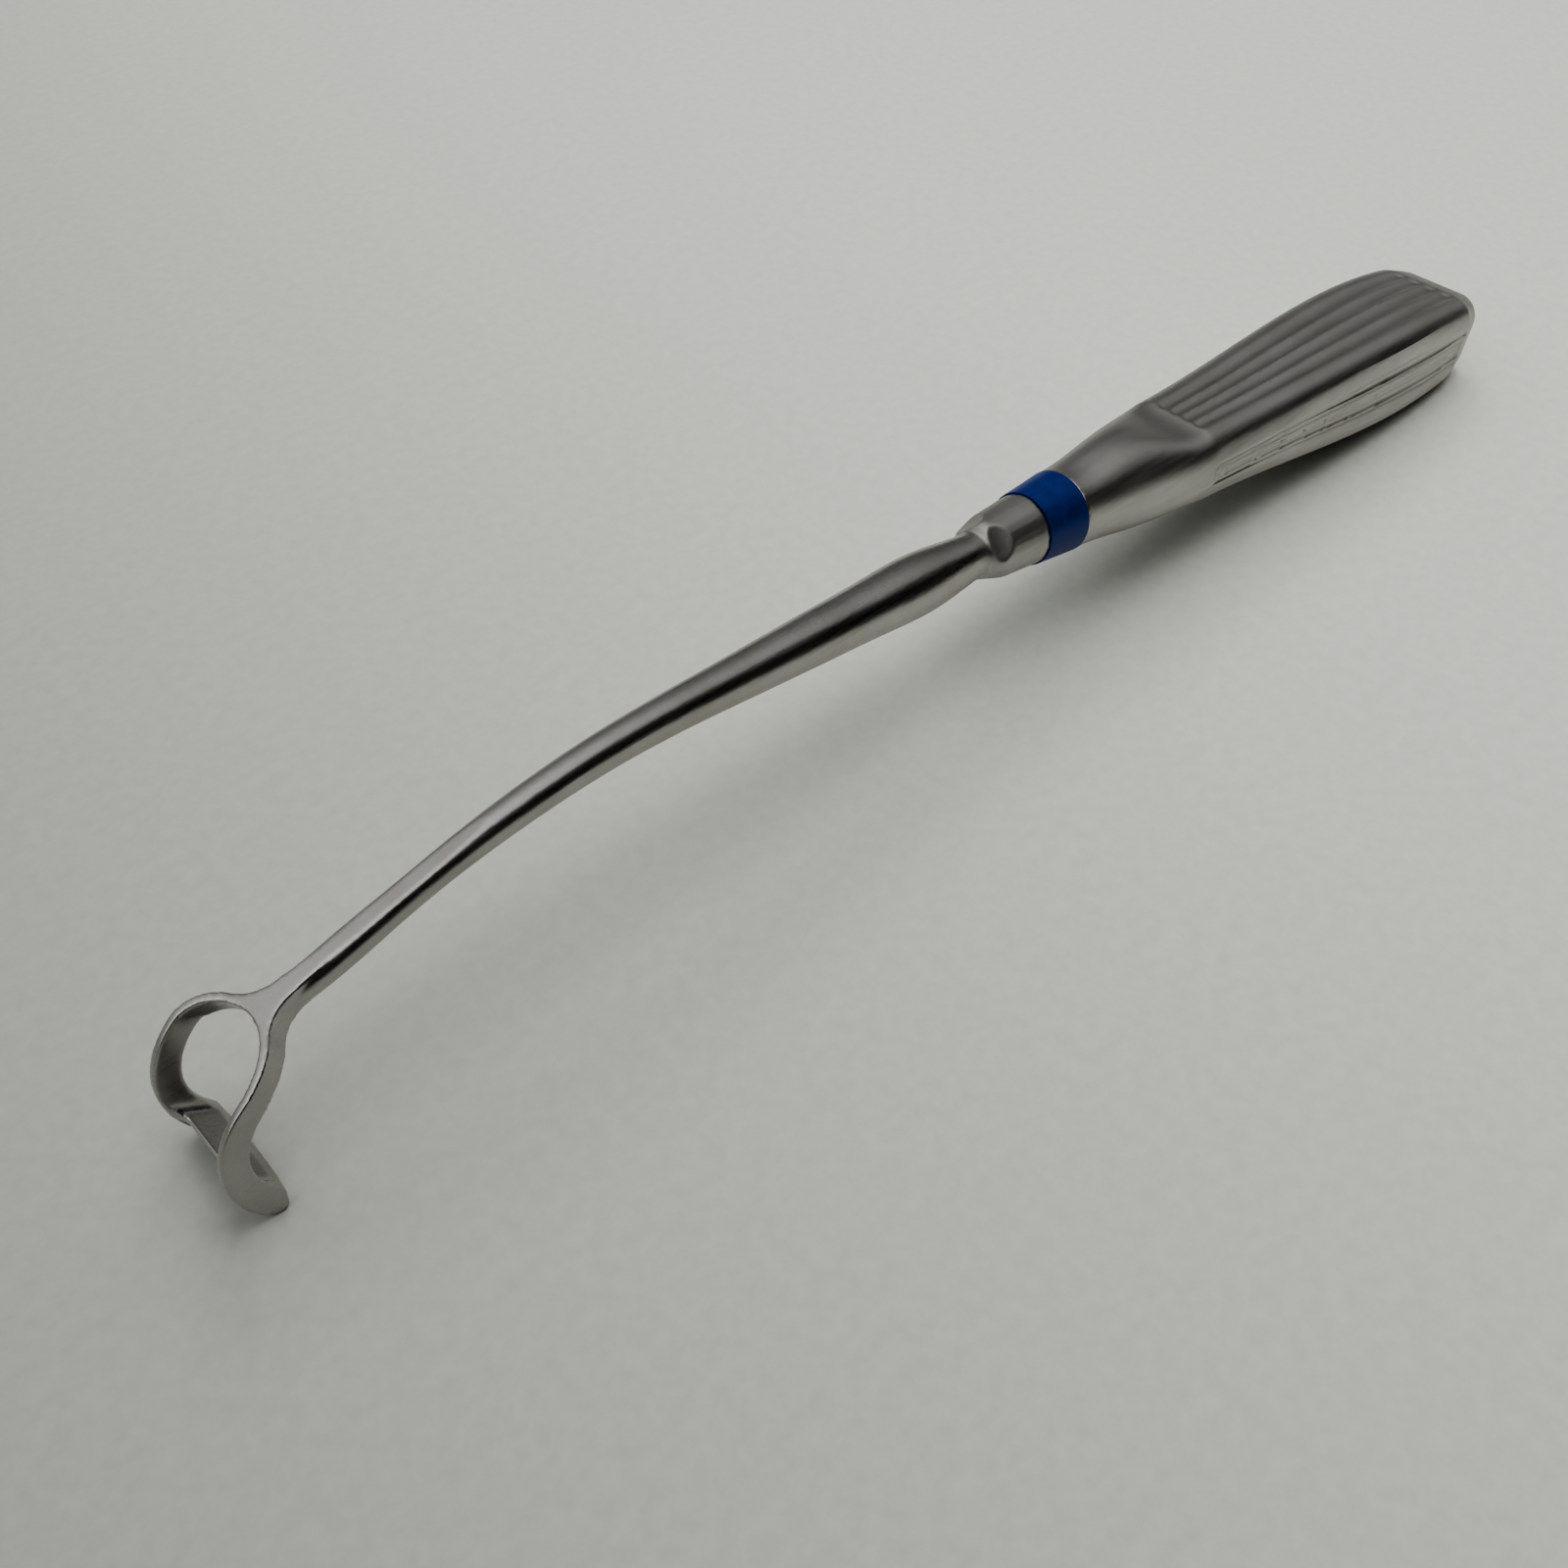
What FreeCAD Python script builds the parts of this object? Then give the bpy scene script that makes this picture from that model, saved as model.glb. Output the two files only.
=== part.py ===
import FreeCAD, Part
import math
import os
import Sketcher
from FreeCAD import Placement, Rotation, Vector

# Adenoid curette with a fluted hollow handle.
# Modelled in the handle's frame: the X axis is the handle's axis and points to the butt, Z is up,
# and X = 0 is the joint face between the shaft's collar and the handle. The instrument is
# mirror-symmetric about the plane Y = 0. At the end every piece is turned and lifted together,
# so that the instrument lies on Z = 0 on the blade's lower corners and the handle's underside.

doc = FreeCAD.newDocument("adenoid_curette")

# Driving dimensions, in millimetres and degrees
sheet = doc.addObject("Spreadsheet::Sheet", "Sizes")
SIZES = [
    ("collar_length", 9.2, "round collar in front of the handle"),
    ("collar_front_radius", 4.2, "collar radius at its rounded front"),
    ("collar_rear_radius", 4.74, "collar radius at the joint face"),
    ("collar_shoulder", 1.6, "rounding of the collar's front"),
    ("scoop_radius", 5.0, "four ground hollows between neck and collar"),
    ("scoop_floor", 3.15, "distance of their floor from the axis"),
    ("scoop_place", 9.4, "their middle, in front of the joint face"),
    ("neck_place", 11.4, "narrowest place of the neck"),
    ("neck_radius", 3.05, "its radius"),
    ("swell_place", 19.5, "thickest place of the shaft"),
    ("swell_radius", 3.8, "its radius"),
    ("fore_place", 27.5, "first measured station of the taper"),
    ("fore_radius", 3.55, "its radius"),
    ("mid_place", 38.0, "second station"),
    ("mid_radius", 3.15, "its radius"),
    ("aft_place", 48.0, "third station"),
    ("aft_radius", 2.74, "its radius"),
    ("bend_start", 57.5, "where the straight shaft starts to bend down"),
    ("bend_start_radius", 2.4, "shaft radius there"),
    ("bend_radius", 105.0, "centre-line radius of the bend"),
    ("bend_angle", 19.5, "turn of the bend"),
    ("bend_first_radius", 2.17, "shaft radius a quarter of the way round the bend"),
    ("bend_mid_radius", 2.0, "shaft radius half way round"),
    ("bend_last_radius", 1.82, "shaft radius at three quarters"),
    ("bend_end_radius", 1.72, "shaft radius at its end"),
    ("root_run", 11.8, "straight run from the bend to the fork's root"),
    ("root_radius", 1.70, "shaft radius there"),
    ("fade_run", 6.0, "length over which the round shaft sinks into the fork"),
    ("fade_radius", 0.5, "its radius at the end"),
    ("plate_angle", 18.5, "slope of the fork's flat top"),
    ("plate_rise", 1.65, "its height above the centre line at the root"),
    ("fork_depth", 2.9, "depth of the fork in side view"),
    ("arm_depth", 3.0, "depth of the arms at the front"),
    ("plate_run", 9.0, "length of the flat top behind the curl"),
    ("ring_reach", 2.85, "curl centre, ahead of the fork's root"),
    ("curl_radius", 11.8, "outer radius from the flat top to the front"),
    ("hook_radius", 15.0, "outer radius from the front down to the heel"),
    ("hook_inner_radius", 10.6, "inner radius from the front down to the blade"),
    ("heel_radius", 1.4, "rounded heel at the bottom of the arms"),
    ("heel_drop", 8.5, "its centre, below the curl centre"),
    ("lip_reach", 6.0, "cutting edge, behind the front"),
    ("lip_drop", 7.7, "cutting edge, below the curl centre"),
    ("window_slope", 35.0, "direction of the window's lower walls below the horizontal"),
    ("fork_slope", 60.0, "direction of its walls at the fork"),
    ("window_half_width", 6.1, "half of the clear window"),
    ("window_rise", 1.3, "centre of its round top above the curl centre"),
    ("floor_rise", 0.53, "its floor, the blade's inner face, above the cutting edge"),
    ("window_corner", 1.2, "its lower corners"),
    ("window_split", 3.0, "height above the curl centre where its walls change direction"),
    ("fork_end_drop", 3.2, "round centre at the fork below the curl centre"),
    ("blade_back", 0.47, "outer face of the blade between the arms, below the cutting edge"),
    ("blade_half_width", 6.0, "half of that face"),
    ("blade_front", 1.75, "front of the blade between the arms, behind the ring's front"),
    ("blade_front_corner", 1.8, "its roundings into the arms"),
    ("ring_half_width", 7.1, "half of the ring across its outside"),
    ("ring_split", 2.6, "height above the curl centre where its walls change direction"),
    ("ring_below", 3.4, "lower edge of the ring's front outline, below the cutting edge"),
    ("ring_corner", 1.2, "its lower corners"),
    ("stem_half_width", 1.3, "half of the fork's root"),
    ("stem_tail_half_width", 0.6, "half of the flat where it sinks into the round shaft"),
    ("stem_flare", 4.6, "hollow rounding from the root to the ring"),
    ("bevel_length", 1.2, "ground bevel under the cutting edge"),
    ("bevel_drop", 0.6, "its fall over that length"),
    ("bevel_land", 0.15, "blunt land left above it"),
    ("edge_bow", 0.45, "how far the middle of the cutting edge stands out"),
    ("tang_radius", 2.5, "tang in the handle"),
    ("tang_length", 26.0, "its length"),
    ("tang_clearance", 0.05, "radial gap of the tang in its bore"),
    ("tang_end_gap", 0.5, "gap past the tang's end"),
    ("band_length", 6.8, "coloured band"),
    ("band_front_radius", 4.9, "its outer radius in front"),
    ("band_rear_radius", 5.5, "its outer radius behind"),
    ("spigot_radius", 4.35, "handle spigot under the band"),
    ("ferrule_radius", 5.4, "handle radius behind the band"),
    ("ferrule_mid_place", 15.0, "round section on the ferrule"),
    ("ferrule_mid_radius", 6.15, "its radius"),
    ("ferrule_round", 0.2, "how much its corner radii stay below the full circle"),
    ("brow_place", 20.5, "brow in front of the thumb hollow"),
    ("brow_half_width", 6.9, "half of its width"),
    ("brow_half_height", 6.5, "half of its height"),
    ("brow_corner", 6.1, "its corner radius"),
    ("hollow_place", 26.0, "deepest place of the thumb hollow"),
    ("hollow_half_width", 7.5, "half of its width"),
    ("hollow_half_height", 5.6, "half of its height"),
    ("hollow_corner", 4.6, "its corner radius"),
    ("flute_start", 32.0, "front end of the fluted grip"),
    ("grip_front_half_width", 7.85, "half of the grip's width there"),
    ("grip_front_half_height", 5.55, "half of its height"),
    ("grip_mid_place", 50.0, "middle section of the grip"),
    ("grip_mid_half_width", 8.6, "half of its width"),
    ("grip_mid_half_height", 6.35, "half of its height"),
    ("grip_rear_back", 27.4, "rear section of the grip, before the end"),
    ("grip_rear_half_width", 9.8, "half of its width"),
    ("grip_rear_half_height", 7.9, "half of its height"),
    ("butt_length", 7.9, "rounded butt behind the flutes"),
    ("grip_end_half_width", 9.4, "half of the grip's width there"),
    ("grip_end_half_height", 7.25, "half of its height"),
    ("grip_corner", 3.9, "corner radius of the grip"),
    ("flute_depth", 0.38, "depth of its flutes"),
    ("butt_round_back", 3.4, "section in the rounding of the butt, before the end"),
    ("butt_round_half_width", 8.2, "half of its width"),
    ("butt_round_half_height", 6.2, "half of its height"),
    ("butt_round_corner", 3.8, "its corner radius"),
    ("butt_rim_back", 0.8, "section near the end, before it"),
    ("butt_rim_half_width", 6.6, "half of its width"),
    ("butt_rim_half_height", 4.8, "half of its height"),
    ("butt_rim_corner", 3.0, "its corner radius"),
    ("handle_length", 105.4, "joint face to the end of the butt"),
    ("butt_end_half_width", 4.8, "half of the small flat end"),
    ("butt_end_half_height", 3.4, "half of its height"),
    ("butt_end_corner", 2.4, "its corner radius"),
    ("shell_wall", 1.5, "wall of the hollow grip"),
    ("hollow_front", 36.0, "front end of the space inside"),
    ("hollow_rear_back", 9.4, "rear end of the space inside, before the end"),
    ("rest_tilt", 6.550, "slope of the handle's axis as the instrument lies"),
]
for row, (alias, value, note) in enumerate(SIZES, start=1):
    sheet.set("A%d" % row, note)
    sheet.set("B%d" % row, str(value))
    sheet.setAlias("B%d" % row, alias)
doc.recompute()


def size(alias):
    """A driving dimension as a plain number."""
    return float(sheet.get(alias))


# Places on the shaft's centre line, written once for sketches and for their first positions
ROOT_X = ("-(Sizes.bend_start + Sizes.bend_radius * sin(Sizes.bend_angle)"
          " + Sizes.root_run * cos(Sizes.bend_angle))")
ROOT_Z = ("-(Sizes.bend_radius * (1 - cos(Sizes.bend_angle))"
          " + Sizes.root_run * sin(Sizes.bend_angle))")
bend = math.radians(size("bend_angle"))
root_x = -(size("bend_start") + size("bend_radius") * math.sin(bend) + size("root_run") * math.cos(bend))
root_z = -(size("bend_radius") * (1 - math.cos(bend)) + size("root_run") * math.sin(bend))

# Curl centre: ahead of the root, one curl radius below the fork's flat top
CURL_X = "(%s - Sizes.ring_reach)" % ROOT_X
CURL_Z = ("(%s + Sizes.plate_rise / cos(Sizes.plate_angle) - Sizes.ring_reach * tan(Sizes.plate_angle)"
          " - Sizes.curl_radius / cos(Sizes.plate_angle))" % ROOT_Z)
plate = math.radians(size("plate_angle"))
curl_x = root_x - size("ring_reach")
curl_z = (root_z + size("plate_rise") / math.cos(plate) - size("ring_reach") * math.tan(plate)
          - size("curl_radius") / math.cos(plate))

# Cutting edge below the curl centre, square to the window's lower walls
EDGE = ("((Sizes.curl_radius - Sizes.lip_reach) * sin(Sizes.window_slope)"
        " + Sizes.lip_drop * cos(Sizes.window_slope))")
slope = math.radians(size("window_slope"))
edge = (size("curl_radius") - size("lip_reach")) * math.sin(slope) + size("lip_drop") * math.cos(slope)

# Places on the handle, counted from its end
FLUTE_END = "(Sizes.handle_length - Sizes.butt_length)"
GRIP_REAR = "(Sizes.handle_length - Sizes.grip_rear_back)"


def new_body(name):
    """An empty body with its own label."""
    body = doc.addObject("PartDesign::Body", name)
    body.Label = name
    return body


def origin_plane(body, role):
    """One of a body's own origin planes."""
    for feature in body.Origin.OriginFeatures:
        if feature.Role == role:
            return feature
    raise ValueError(role)


def new_sketch(body, name, role):
    """A sketch on one of the body's origin planes."""
    sketch = body.newObject("Sketcher::SketchObject", name)
    sketch.AttachmentSupport = [(origin_plane(body, role), "")]
    sketch.MapMode = "FlatFace"
    return sketch


def dimension(sketch, constraint, name, formula):
    """A named dimension that follows the sheet."""
    index = sketch.addConstraint(constraint)
    sketch.renameConstraint(index, name)
    sketch.setExpression("Constraints." + name, formula)


def station(sketch, along, rise=None, turn=None):
    """Put a sketch of the YZ plane at its place along X and Z, turned about Y."""
    sketch.setExpression("AttachmentOffset.Base.z", along)
    if rise is not None:
        sketch.setExpression("AttachmentOffset.Base.y", rise)
    if turn is not None:
        sketch.AttachmentOffset = Placement(Vector(0, 0, 0), Rotation(Vector(1, 0, 0), 1))
        sketch.setExpression("AttachmentOffset.Rotation.Angle", turn)


def round_section(body, name, radius, along, rise=None, turn=None):
    """A circular section."""
    sketch = new_sketch(body, name, "YZ_Plane")
    station(sketch, along, rise, turn)
    sketch.addGeometry(Part.Circle(Vector(0, 0, 0), Vector(0, 0, 1), size(radius)), False)
    sketch.addConstraint(Sketcher.Constraint("Coincident", 0, 3, -1, 1))
    dimension(sketch, Sketcher.Constraint("Radius", 0, size(radius)), "section_radius", "Sizes." + radius)
    return sketch


def rounded_section(body, name, along, half_width, half_height, corner):
    """A rounded rectangle about the axis; the three sizes are (formula, first value) pairs."""
    sketch = new_sketch(body, name, "YZ_Plane")
    station(sketch, along)
    w = half_width[1]
    h = half_height[1]
    r = corner[1]
    edges = [
        Part.LineSegment(Vector(w - r, -h, 0), Vector(-(w - r), -h, 0)),
        Part.LineSegment(Vector(-w, -(h - r), 0), Vector(-w, h - r, 0)),
        Part.LineSegment(Vector(-(w - r), h, 0), Vector(w - r, h, 0)),
        Part.LineSegment(Vector(w, h - r, 0), Vector(w, -(h - r), 0)),
    ]
    middles = [(-1, -1, math.pi), (-1, 1, math.pi / 2), (1, 1, 0), (1, -1, -math.pi / 2)]
    for side_y, side_z, first in middles:
        circle = Part.Circle(Vector(side_y * (w - r), side_z * (h - r), 0), Vector(0, 0, 1), r)
        edges.append(Part.ArcOfCircle(circle, first, first + math.pi / 2))
    sketch.addGeometry(edges, False)
    rules = []
    for line in range(4):
        arc = 4 + line
        following = (line + 1) % 4
        rules.append(Sketcher.Constraint("Tangent", line, 2, arc, 2))
        rules.append(Sketcher.Constraint("Tangent", arc, 1, following, 1))
        rules.append(Sketcher.Constraint("Vertical" if line % 2 else "Horizontal", line))
    for arc in (5, 6, 7):
        rules.append(Sketcher.Constraint("Equal", 4, arc))
    sketch.addConstraint(rules)
    dimension(sketch, Sketcher.Constraint("Radius", 4, r), "corner", corner[0])
    dimension(sketch, Sketcher.Constraint("DistanceX", -1, 1, 3, 1, w), "right", half_width[0])
    dimension(sketch, Sketcher.Constraint("DistanceX", 1, 1, -1, 1, w), "left", half_width[0])
    dimension(sketch, Sketcher.Constraint("DistanceY", -1, 1, 2, 1, h), "top", half_height[0])
    dimension(sketch, Sketcher.Constraint("DistanceY", 0, 1, -1, 1, h), "bottom", half_height[0])
    return sketch


def loft(body, name, kind, sections):
    """A smooth loft through section sketches."""
    feature = body.newObject(kind, name)
    feature.Profile = sections[0]
    feature.Sections = sections[1:]
    feature.Ruled = False
    return feature


# Shaft: fork and blade, shaft, collar and tang, one forging


def fork_profile(body):
    """Side view of the fork, its arms and the blade: a hook of even depth, in the plane Y = 0."""
    big = size("curl_radius")
    outer = size("hook_radius")
    inner = size("hook_inner_radius")
    round_heel = size("heel_radius")
    depth = size("arm_depth")
    thin = size("fork_depth")
    front_x = curl_x - big
    up = Vector(-math.sin(plate), math.cos(plate), 0)
    curl = Vector(curl_x, curl_z, 0)
    hook = Vector(front_x + outer, curl_z, 0)
    hollow = Vector(front_x + depth + inner, curl_z, 0)
    top_tangent = curl + up * big
    shift = (depth - thin) / (1 - math.sin(plate))
    inside = curl + Vector(shift, 0, 0)
    under_radius = big - depth + shift
    under_tangent = inside + up * under_radius
    back = Vector(math.cos(plate), math.sin(plate), 0)
    reach = size("plate_run")
    lip = Vector(front_x + size("lip_reach"), curl_z - size("lip_drop"), 0)
    heel_angle = math.pi + math.asin(size("heel_drop") / (outer - round_heel))
    heel = hook + Vector(math.cos(heel_angle), math.sin(heel_angle), 0) * (outer - round_heel)
    rise = lip - heel
    rise_angle = math.atan2(rise.y, rise.x) - math.acos(round_heel / rise.Length)
    heel_end = heel + Vector(math.cos(rise_angle), math.sin(rise_angle), 0) * round_heel
    rise_angle = rise_angle % (2 * math.pi)
    to_lip = lip - hollow
    heading = math.atan2(to_lip.y, to_lip.x) - math.acos(inner / to_lip.Length)
    contact = hollow + Vector(math.cos(heading), math.sin(heading), 0) * inner
    heading = heading % (2 * math.pi)
    top_angle = math.pi / 2 + plate
    sketch = new_sketch(body, "fork_side_view", "XZ_Plane")
    axis = Vector(0, 0, 1)
    sketch.addGeometry([
        Part.LineSegment(top_tangent, top_tangent + back * reach),
        Part.ArcOfCircle(Part.Circle(curl, axis, big), top_angle, math.pi),
        Part.ArcOfCircle(Part.Circle(hook, axis, outer), math.pi, heel_angle),
        Part.LineSegment(heel_end, lip),
        Part.LineSegment(lip, contact),
        Part.ArcOfCircle(Part.Circle(hollow, axis, inner), math.pi, heading),
        Part.ArcOfCircle(Part.Circle(inside, axis, under_radius), top_angle, math.pi),
        Part.LineSegment(under_tangent, top_tangent + back * reach - up * thin),
        Part.LineSegment(top_tangent + back * reach - up * thin, top_tangent + back * reach),
        Part.ArcOfCircle(Part.Circle(heel, axis, round_heel), heel_angle, rise_angle),
    ], False)
    sketch.addConstraint([
        Sketcher.Constraint("Tangent", 0, 1, 1, 1),
        Sketcher.Constraint("Coincident", 1, 2, 2, 1),
        Sketcher.Constraint("Tangent", 2, 2, 9, 1),
        Sketcher.Constraint("Tangent", 9, 2, 3, 1),
        Sketcher.Constraint("Coincident", 3, 2, 4, 1),
        Sketcher.Constraint("Tangent", 4, 2, 5, 2),
        Sketcher.Constraint("Coincident", 5, 1, 6, 2),
        Sketcher.Constraint("Tangent", 6, 1, 7, 1),
        Sketcher.Constraint("Coincident", 7, 2, 8, 1),
        Sketcher.Constraint("Coincident", 8, 2, 0, 2),
        Sketcher.Constraint("Horizontal", 1, 3, 6, 3),
        Sketcher.Constraint("Horizontal", 1, 3, 5, 3),
        Sketcher.Constraint("Horizontal", 1, 3, 2, 3),
        Sketcher.Constraint("Horizontal", 1, 3, 1, 2),
        Sketcher.Constraint("Horizontal", 1, 3, 6, 2),
        Sketcher.Constraint("Parallel", 0, 7),
        Sketcher.Constraint("Perpendicular", 0, 8),
    ])
    formulas = [
        (Sketcher.Constraint("DistanceX", -1, 1, 1, 3, curl_x), "curl_x", CURL_X),
        (Sketcher.Constraint("DistanceY", -1, 1, 1, 3, curl_z), "curl_z", CURL_Z),
        (Sketcher.Constraint("Radius", 1, big), "curl", "Sizes.curl_radius"),
        (Sketcher.Constraint("Radius", 2, outer), "hook", "Sizes.hook_radius"),
        (Sketcher.Constraint("Radius", 5, inner), "hook_inside", "Sizes.hook_inner_radius"),
        (Sketcher.Constraint("Radius", 9, round_heel), "heel", "Sizes.heel_radius"),
        (Sketcher.Constraint("DistanceY", 9, 3, 1, 3, size("heel_drop")), "heel_drop", "Sizes.heel_drop"),
        (Sketcher.Constraint("DistanceX", 1, 2, 6, 2, depth), "arm_depth", "Sizes.arm_depth"),
        (Sketcher.Constraint("Distance", 8, 1, 8, 2, thin), "fork_depth", "Sizes.fork_depth"),
        (Sketcher.Constraint("DistanceX", 1, 2, 3, 2, size("lip_reach")), "lip_x", "Sizes.lip_reach"),
        (Sketcher.Constraint("DistanceY", 3, 2, 1, 2, size("lip_drop")), "lip_z", "Sizes.lip_drop"),
        (Sketcher.Constraint("Angle", 0, plate), "slope", "Sizes.plate_angle"),
        (Sketcher.Constraint("Distance", 0, 1, 0, 2, reach), "reach", "Sizes.plate_run"),
    ]
    for constraint, name, formula in formulas:
        dimension(sketch, constraint, name, formula)
    return sketch


def pocket(body, name, sketch, length, formula=None):
    """Cut a sketch's area out of the body, to both sides of its plane."""
    feature = body.newObject("PartDesign::Pocket", name)
    feature.Profile = sketch
    feature.SideType = "Symmetric"
    feature.Length = length
    if formula is not None:
        feature.setExpression("Length", formula)
    return feature


def edge_bow_area(body):
    """Seen from above: what lies behind the bowed end of the blade."""
    lip_x = curl_x - size("curl_radius") + size("lip_reach")
    bow = size("edge_bow")
    half = size("ring_half_width")
    sketch = new_sketch(body, "edge_bow_area", "XY_Plane")
    sketch.setExpression("AttachmentOffset.Base.z", "%s - Sizes.lip_drop" % CURL_Z)
    far = lip_x + 3
    arc = Part.Arc(Vector(lip_x - bow, -half, 0), Vector(lip_x, 0, 0), Vector(lip_x - bow, half, 0))
    sketch.addGeometry([
        arc,
        Part.LineSegment(Vector(lip_x - bow, half, 0), Vector(lip_x - bow, half + 2, 0)),
        Part.LineSegment(Vector(lip_x - bow, half + 2, 0), Vector(far, half + 2, 0)),
        Part.LineSegment(Vector(far, half + 2, 0), Vector(far, -half - 2, 0)),
        Part.LineSegment(Vector(far, -half - 2, 0), Vector(lip_x - bow, -half - 2, 0)),
        Part.LineSegment(Vector(lip_x - bow, -half - 2, 0), Vector(lip_x - bow, -half, 0)),
    ], False)
    sketch.addConstraint([
        Sketcher.Constraint("Coincident", 0, 2, 1, 1),
        Sketcher.Constraint("Coincident", 1, 2, 2, 1),
        Sketcher.Constraint("Coincident", 2, 2, 3, 1),
        Sketcher.Constraint("Coincident", 3, 2, 4, 1),
        Sketcher.Constraint("Coincident", 4, 2, 5, 1),
        Sketcher.Constraint("Coincident", 5, 2, 0, 1),
        Sketcher.Constraint("Vertical", 1),
        Sketcher.Constraint("Horizontal", 2),
        Sketcher.Constraint("Vertical", 3),
        Sketcher.Constraint("Horizontal", 4),
        Sketcher.Constraint("Vertical", 5),
        Sketcher.Constraint("Symmetric", 0, 1, 0, 2, -1),
        Sketcher.Constraint("Symmetric", 2, 1, 4, 2, -1),
    ])
    front = "%s - Sizes.curl_radius + Sizes.lip_reach" % CURL_X
    radius = (half ** 2 + bow ** 2) / (2 * bow)
    dimension(sketch, Sketcher.Constraint("Radius", 0, radius), "bow_radius",
              "(Sizes.ring_half_width ^ 2 + Sizes.edge_bow ^ 2) / (2 * Sizes.edge_bow)")
    dimension(sketch, Sketcher.Constraint("DistanceY", 0, 1, 0, 2, 2 * half), "bow_width",
              "2 * Sizes.ring_half_width")
    dimension(sketch, Sketcher.Constraint("DistanceX", -1, 1, 0, 2, lip_x - bow), "bow_end",
              front + " - Sizes.edge_bow")
    dimension(sketch, Sketcher.Constraint("DistanceX", -1, 1, 2, 2, far), "far", front + " + 3")
    dimension(sketch, Sketcher.Constraint("DistanceY", 4, 2, 2, 1, 2 * half + 4), "past",
              "2 * Sizes.ring_half_width + 4")
    return sketch


def flare_geometry(ring, rise, flare, stem, tail, low, high):
    """Right-hand rounding between the ring's circle and the stem's leaning side."""
    taper = math.atan2(stem - tail, high - low)
    along = Vector(-math.sin(taper), math.cos(taper), 0)
    outward = Vector(math.cos(taper), math.sin(taper), 0)
    middle = Vector(0, rise, 0)
    start = Vector(stem, low, 0) + outward * flare - middle
    half_b = start.dot(along)
    step = -half_b + math.sqrt(half_b ** 2 - start.dot(start) + (ring + flare) ** 2)
    centre = start + along * step + middle
    to_ring = (middle - centre).normalize()
    return taper, centre, to_ring, centre + to_ring * flare, centre - outward * flare


def ring_outline_area(body):
    """Seen along the window's lower walls: everything outside the ring and its lower corners."""
    ring = size("ring_half_width")
    drop = edge + size("ring_below")
    corner = size("ring_corner")
    split = size("ring_split")
    sketch = new_sketch(body, "ring_outline_area", "YZ_Plane")
    station(sketch, CURL_X, CURL_Z, "Sizes.window_slope")
    axis = Vector(0, 0, 1)
    foot = Vector(ring - corner, -drop + corner, 0)
    wide = ring + 3
    sketch.addGeometry([
        Part.LineSegment(Vector(ring, split, 0), Vector(ring, foot.y, 0)),
        Part.ArcOfCircle(Part.Circle(foot, axis, corner), -math.pi / 2, 0),
        Part.LineSegment(Vector(foot.x, -drop, 0), Vector(-foot.x, -drop, 0)),
        Part.ArcOfCircle(Part.Circle(Vector(-foot.x, foot.y, 0), axis, corner), math.pi, 1.5 * math.pi),
        Part.LineSegment(Vector(-ring, foot.y, 0), Vector(-ring, split, 0)),
        Part.LineSegment(Vector(-ring, split, 0), Vector(-wide, split, 0)),
        Part.LineSegment(Vector(-wide, split, 0), Vector(-wide, -drop - 3, 0)),
        Part.LineSegment(Vector(-wide, -drop - 3, 0), Vector(wide, -drop - 3, 0)),
        Part.LineSegment(Vector(wide, -drop - 3, 0), Vector(wide, split, 0)),
        Part.LineSegment(Vector(wide, split, 0), Vector(ring, split, 0)),
    ], False)
    sketch.addConstraint([
        Sketcher.Constraint("Tangent", 0, 2, 1, 2),
        Sketcher.Constraint("Tangent", 1, 1, 2, 1),
        Sketcher.Constraint("Tangent", 2, 2, 3, 2),
        Sketcher.Constraint("Tangent", 3, 1, 4, 1),
        Sketcher.Constraint("Coincident", 4, 2, 5, 1),
        Sketcher.Constraint("Coincident", 5, 2, 6, 1),
        Sketcher.Constraint("Coincident", 6, 2, 7, 1),
        Sketcher.Constraint("Coincident", 7, 2, 8, 1),
        Sketcher.Constraint("Coincident", 8, 2, 9, 1),
        Sketcher.Constraint("Coincident", 9, 2, 0, 1),
        Sketcher.Constraint("Vertical", 0),
        Sketcher.Constraint("Horizontal", 2),
        Sketcher.Constraint("Vertical", 4),
        Sketcher.Constraint("Horizontal", 5),
        Sketcher.Constraint("Vertical", 6),
        Sketcher.Constraint("Vertical", 8),
        Sketcher.Constraint("Horizontal", 9),
        Sketcher.Constraint("Equal", 1, 3),
        Sketcher.Constraint("Symmetric", 0, 1, 4, 2, -2),
        Sketcher.Constraint("Symmetric", 7, 1, 7, 2, -2),
    ])
    sizes = [
        (Sketcher.Constraint("DistanceX", 4, 2, 0, 1, 2 * ring), "ring", "2 * Sizes.ring_half_width"),
        (Sketcher.Constraint("DistanceY", -1, 1, 0, 1, split), "split", "Sizes.ring_split"),
        (Sketcher.Constraint("DistanceY", 2, 1, -1, 1, drop), "ring_drop", EDGE + " + Sizes.ring_below"),
        (Sketcher.Constraint("Radius", 1, corner), "ring_corner", "Sizes.ring_corner"),
        (Sketcher.Constraint("DistanceX", 7, 1, 7, 2, 2 * wide), "wide", "2 * Sizes.ring_half_width + 6"),
        (Sketcher.Constraint("DistanceY", 7, 1, 2, 2, 3), "below", "3"),
    ]
    for constraint, name, formula in sizes:
        dimension(sketch, constraint, name, formula)
    return sketch


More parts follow.
